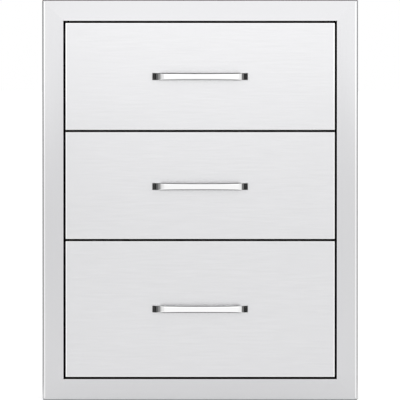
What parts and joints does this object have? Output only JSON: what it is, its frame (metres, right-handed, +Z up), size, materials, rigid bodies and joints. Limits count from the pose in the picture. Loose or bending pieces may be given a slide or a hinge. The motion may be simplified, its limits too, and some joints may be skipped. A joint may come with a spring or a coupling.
{
  "type": "outdoor kitchen drawer unit",
  "caption": "Built-in outdoor kitchen drawer unit in brushed stainless steel: flanged face frame on a box cabinet, drawers on full-extension ball slides with arched bar handles.",
  "frame": {"origin": "middle of the cut-out's sill at its front edge: on the underside of the cabinet's bottom panel, in the plane where the flange seats on the island's face", "axes": "+Z up, +Y into the island towards the unit's back, +X to the right as seen from the front"},
  "size_m": [0.457, 0.5843, 0.58],
  "materials": {
    "brushed_steel": "fine brushed stainless steel, satin",
    "sheet_steel": "mill-finish stainless sheet",
    "tray_steel": "mill-finish stainless sheet, smooth",
    "chrome": "polished",
    "zinc_steel": "bright zinc-plated",
    "cage_steel": "plated, lightly greased",
    "screw_steel": "plain stainless",
    "bumper_rubber": "matt black"
  },
  "bodies": {
    "cabinet": {"face_frame": "brushed_steel", "side_panel_left": "sheet_steel", "side_panel_right": "sheet_steel", "bottom_panel": "sheet_steel", "top_panel": "sheet_steel", "back_panel": "sheet_steel", "lower_slide_outer_rail_left": "zinc_steel", "lower_slide_outer_rail_right": "zinc_steel", "lower_slide_bumper_left": "bumper_rubber", "lower_slide_bumper_right": "bumper_rubber", "middle_slide_outer_rail_left": "zinc_steel", "middle_slide_outer_rail_right": "zinc_steel", "middle_slide_bumper_left": "bumper_rubber", "middle_slide_bumper_right": "bumper_rubber", "upper_slide_outer_rail_left": "zinc_steel", "upper_slide_outer_rail_right": "zinc_steel", "upper_slide_bumper_left": "bumper_rubber", "upper_slide_bumper_right": "bumper_rubber"},
    "lower_drawer": {"lower_drawer_front": "brushed_steel", "lower_drawer_liner": "tray_steel", "lower_drawer_tray": "tray_steel", "lower_handle": "chrome", "lower_handle_screw_left": "screw_steel", "lower_handle_screw_right": "screw_steel", "lower_slide_inner_rail_left": "zinc_steel", "lower_slide_inner_rail_right": "zinc_steel"},
    "lower_middle_rails": {"lower_slide_middle_rail_left": "zinc_steel", "lower_slide_middle_rail_right": "zinc_steel"},
    "lower_outer_cages": {"lower_outer_ball_cage_left": "cage_steel", "lower_outer_ball_cage_right": "cage_steel"},
    "lower_inner_cages": {"lower_inner_ball_cage_left": "cage_steel", "lower_inner_ball_cage_right": "cage_steel"},
    "middle_drawer": {"middle_drawer_front": "brushed_steel", "middle_drawer_liner": "tray_steel", "middle_drawer_tray": "tray_steel", "middle_handle": "chrome", "middle_handle_screw_left": "screw_steel", "middle_handle_screw_right": "screw_steel", "middle_slide_inner_rail_left": "zinc_steel", "middle_slide_inner_rail_right": "zinc_steel"},
    "middle_middle_rails": {"middle_slide_middle_rail_left": "zinc_steel", "middle_slide_middle_rail_right": "zinc_steel"},
    "middle_outer_cages": {"middle_outer_ball_cage_left": "cage_steel", "middle_outer_ball_cage_right": "cage_steel"},
    "middle_inner_cages": {"middle_inner_ball_cage_left": "cage_steel", "middle_inner_ball_cage_right": "cage_steel"},
    "upper_drawer": {"upper_drawer_front": "brushed_steel", "upper_drawer_liner": "tray_steel", "upper_drawer_tray": "tray_steel", "upper_handle": "chrome", "upper_handle_screw_left": "screw_steel", "upper_handle_screw_right": "screw_steel", "upper_slide_inner_rail_left": "zinc_steel", "upper_slide_inner_rail_right": "zinc_steel"},
    "upper_middle_rails": {"upper_slide_middle_rail_left": "zinc_steel", "upper_slide_middle_rail_right": "zinc_steel"},
    "upper_outer_cages": {"upper_outer_ball_cage_left": "cage_steel", "upper_outer_ball_cage_right": "cage_steel"},
    "upper_inner_cages": {"upper_inner_ball_cage_left": "cage_steel", "upper_inner_ball_cage_right": "cage_steel"}
  },
  "joints": [
    {"name": "lower_drawer_slide", "type": "slide", "parent": "cabinet", "child": "lower_drawer", "axis": [0, -1, 0], "range_m": [0, 0.5]},
    {"name": "lower_middle_rails_travel", "type": "slide", "parent": "cabinet", "child": "lower_middle_rails", "axis": [0, -1, 0], "range_m": [0, 0.25]},
    {"name": "lower_outer_cages_travel", "type": "slide", "parent": "cabinet", "child": "lower_outer_cages", "axis": [0, -1, 0], "range_m": [0, 0.125]},
    {"name": "lower_inner_cages_travel", "type": "slide", "parent": "cabinet", "child": "lower_inner_cages", "axis": [0, -1, 0], "range_m": [0, 0.375]},
    {"name": "middle_drawer_slide", "type": "slide", "parent": "cabinet", "child": "middle_drawer", "axis": [0, -1, 0], "range_m": [0, 0.5]},
    {"name": "middle_middle_rails_travel", "type": "slide", "parent": "cabinet", "child": "middle_middle_rails", "axis": [0, -1, 0], "range_m": [0, 0.25]},
    {"name": "middle_outer_cages_travel", "type": "slide", "parent": "cabinet", "child": "middle_outer_cages", "axis": [0, -1, 0], "range_m": [0, 0.125]},
    {"name": "middle_inner_cages_travel", "type": "slide", "parent": "cabinet", "child": "middle_inner_cages", "axis": [0, -1, 0], "range_m": [0, 0.375]},
    {"name": "upper_drawer_slide", "type": "slide", "parent": "cabinet", "child": "upper_drawer", "axis": [0, -1, 0], "range_m": [0, 0.5]},
    {"name": "upper_middle_rails_travel", "type": "slide", "parent": "cabinet", "child": "upper_middle_rails", "axis": [0, -1, 0], "range_m": [0, 0.25]},
    {"name": "upper_outer_cages_travel", "type": "slide", "parent": "cabinet", "child": "upper_outer_cages", "axis": [0, -1, 0], "range_m": [0, 0.125]},
    {"name": "upper_inner_cages_travel", "type": "slide", "parent": "cabinet", "child": "upper_inner_cages", "axis": [0, -1, 0], "range_m": [0, 0.375]}
  ],
  "couplings": [
    {"joint": "lower_middle_rails_travel", "follows": "lower_drawer_slide", "ratio": 0.5},
    {"joint": "lower_outer_cages_travel", "follows": "lower_drawer_slide", "ratio": 0.25},
    {"joint": "lower_inner_cages_travel", "follows": "lower_drawer_slide", "ratio": 0.75},
    {"joint": "middle_middle_rails_travel", "follows": "middle_drawer_slide", "ratio": 0.5},
    {"joint": "middle_outer_cages_travel", "follows": "middle_drawer_slide", "ratio": 0.25},
    {"joint": "middle_inner_cages_travel", "follows": "middle_drawer_slide", "ratio": 0.75},
    {"joint": "upper_middle_rails_travel", "follows": "upper_drawer_slide", "ratio": 0.5},
    {"joint": "upper_outer_cages_travel", "follows": "upper_drawer_slide", "ratio": 0.25},
    {"joint": "upper_inner_cages_travel", "follows": "upper_drawer_slide", "ratio": 0.75}
  ]
}
